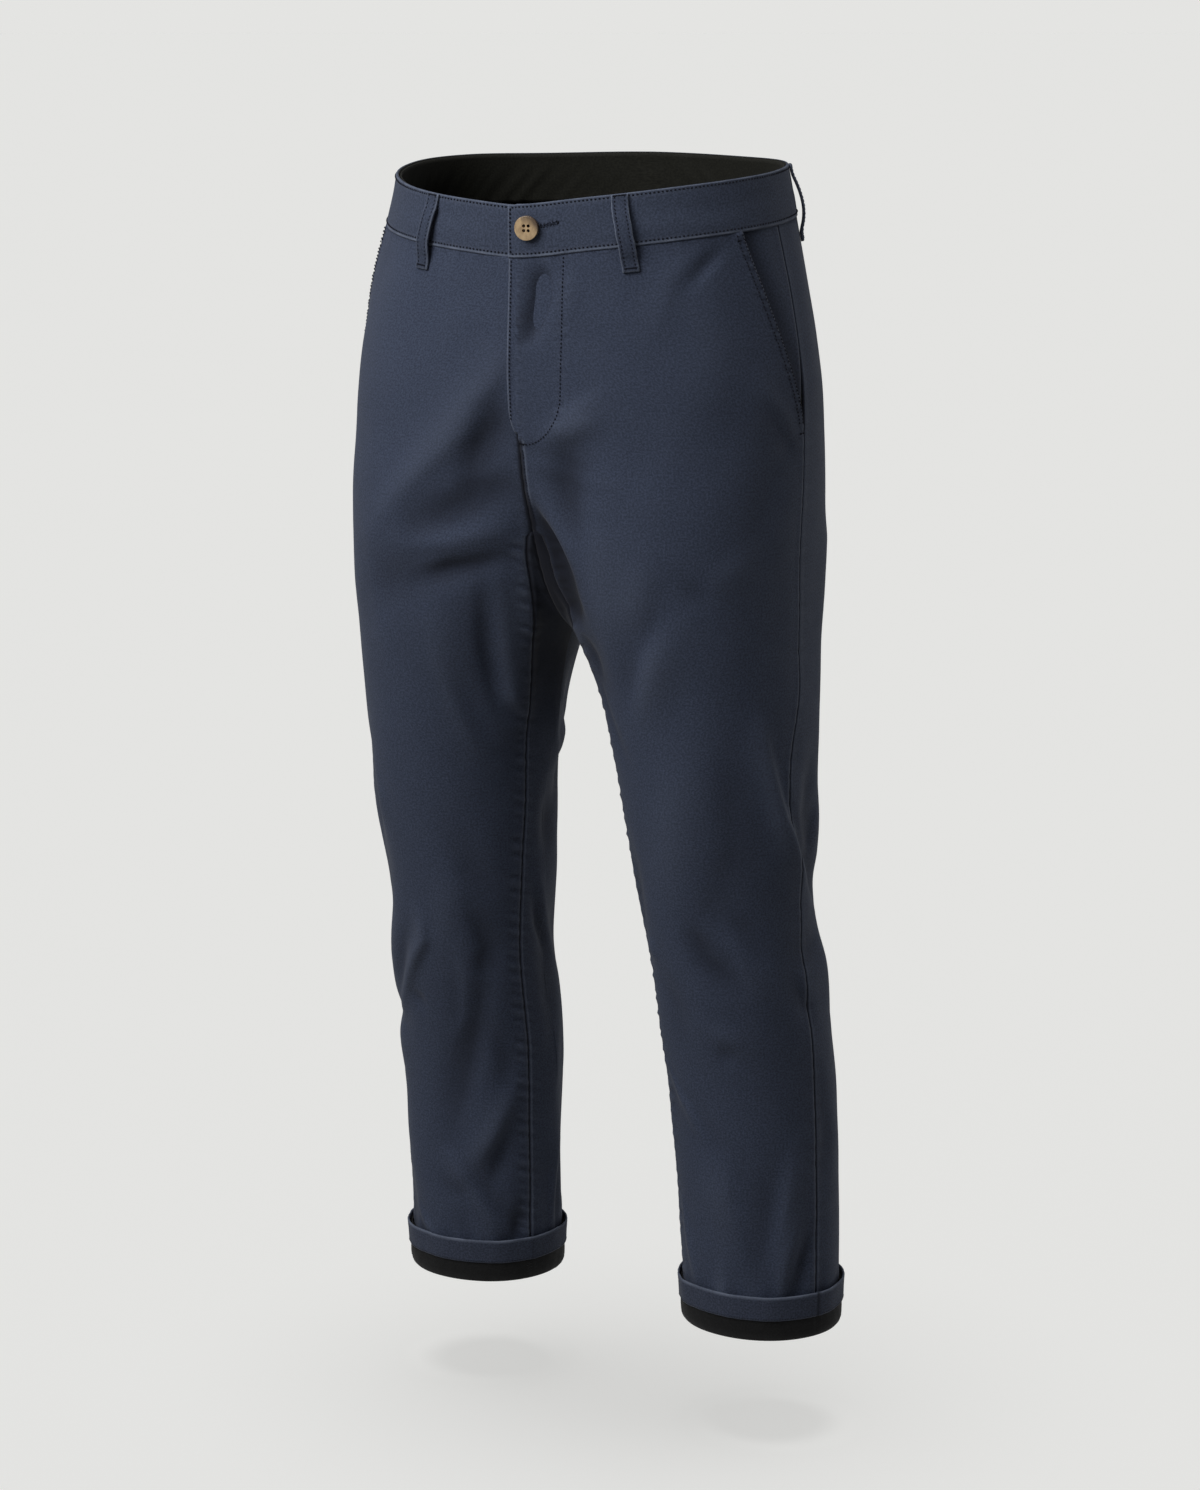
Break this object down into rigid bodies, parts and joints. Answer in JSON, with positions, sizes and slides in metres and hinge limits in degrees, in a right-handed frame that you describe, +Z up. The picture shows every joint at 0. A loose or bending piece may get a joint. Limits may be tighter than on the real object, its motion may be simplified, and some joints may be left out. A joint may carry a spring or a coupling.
{
  "type": "trousers",
  "caption": "Hollow worn form of slim chino trousers with waistband, belt loops, button fly front, slant pockets and turned-up hems.",
  "frame": {"origin": "centre of the waist opening, level with the top edge of the waistband at the sides", "axes": "+Z up along the trousers' length, -Y to the front of the trousers, +X to the wearer's left"},
  "size_m": [0.4054, 0.2628, 0.9448],
  "materials": {
    "front_left": "washed cotton twill",
    "back_left": "washed cotton twill",
    "pocket_facing_left": "washed cotton twill",
    "waistband_left": "washed cotton twill",
    "belt_loop_front_left": "washed cotton twill",
    "belt_loop_back_left": "washed cotton twill",
    "turnup_left": "black twill",
    "hem_band_left": "washed cotton twill",
    "front_right": "washed cotton twill",
    "back_right": "washed cotton twill",
    "pocket_facing_right": "washed cotton twill",
    "waistband_right": "washed cotton twill",
    "belt_loop_front_right": "washed cotton twill",
    "belt_loop_back_right": "washed cotton twill",
    "turnup_right": "black twill",
    "hem_band_right": "washed cotton twill",
    "fly_shield": "washed cotton twill",
    "waistband_lining": "plain black cotton",
    "belt_loop_centre": "washed cotton twill",
    "button": "polished horn look"
  },
  "bodies": {
    "root": {"front_left": "front_left", "back_left": "back_left", "pocket_facing_left": "pocket_facing_left", "waistband_left": "waistband_left", "belt_loop_front_left": "belt_loop_front_left", "belt_loop_back_left": "belt_loop_back_left", "turnup_left": "turnup_left", "hem_band_left": "hem_band_left", "front_right": "front_right", "back_right": "back_right", "pocket_facing_right": "pocket_facing_right", "waistband_right": "waistband_right", "belt_loop_front_right": "belt_loop_front_right", "belt_loop_back_right": "belt_loop_back_right", "turnup_right": "turnup_right", "hem_band_right": "hem_band_right", "fly_shield": "fly_shield", "waistband_lining": "waistband_lining", "belt_loop_centre": "belt_loop_centre", "button": "button"}
  },
  "joints": []
}
